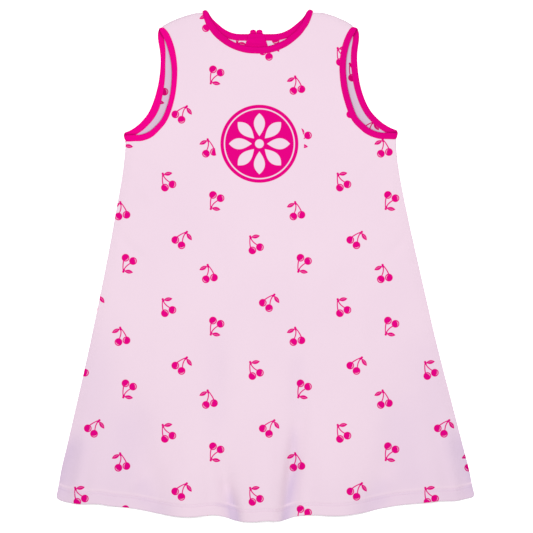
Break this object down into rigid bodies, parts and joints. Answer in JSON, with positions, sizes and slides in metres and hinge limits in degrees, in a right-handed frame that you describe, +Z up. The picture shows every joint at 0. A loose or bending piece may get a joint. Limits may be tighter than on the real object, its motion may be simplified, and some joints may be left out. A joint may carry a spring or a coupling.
{
  "type": "child's sleeveless a-line dress",
  "caption": "Sleeveless child's dress in printed jersey, laid flat on its back, flaring from the armholes to a turned-up hem, bound at the neck and armholes and tied at the back neck.",
  "frame": {"origin": "on the surface the dress lies on, under the middle of its outline", "axes": "+Z up from the surface; +Y from the hem to the neck; +X towards the wearer's left"},
  "size_m": [0.494, 0.6051, 0.0143],
  "materials": {
    "blush_jersey": "matte cotton single jersey with a hot pink cherry print",
    "hot_pink_rib": "matte cotton rib"
  },
  "bodies": {
    "root": {"front_panel": "blush_jersey", "back_panel": "blush_jersey", "neck_binding": "hot_pink_rib", "armhole_binding_left": "hot_pink_rib", "armhole_binding_right": "hot_pink_rib", "neck_patch": "hot_pink_rib", "bow_knot": "hot_pink_rib", "bow_loop_left": "hot_pink_rib", "bow_loop_right": "hot_pink_rib", "bow_tail_left": "hot_pink_rib", "bow_tail_right": "hot_pink_rib"}
  },
  "joints": []
}
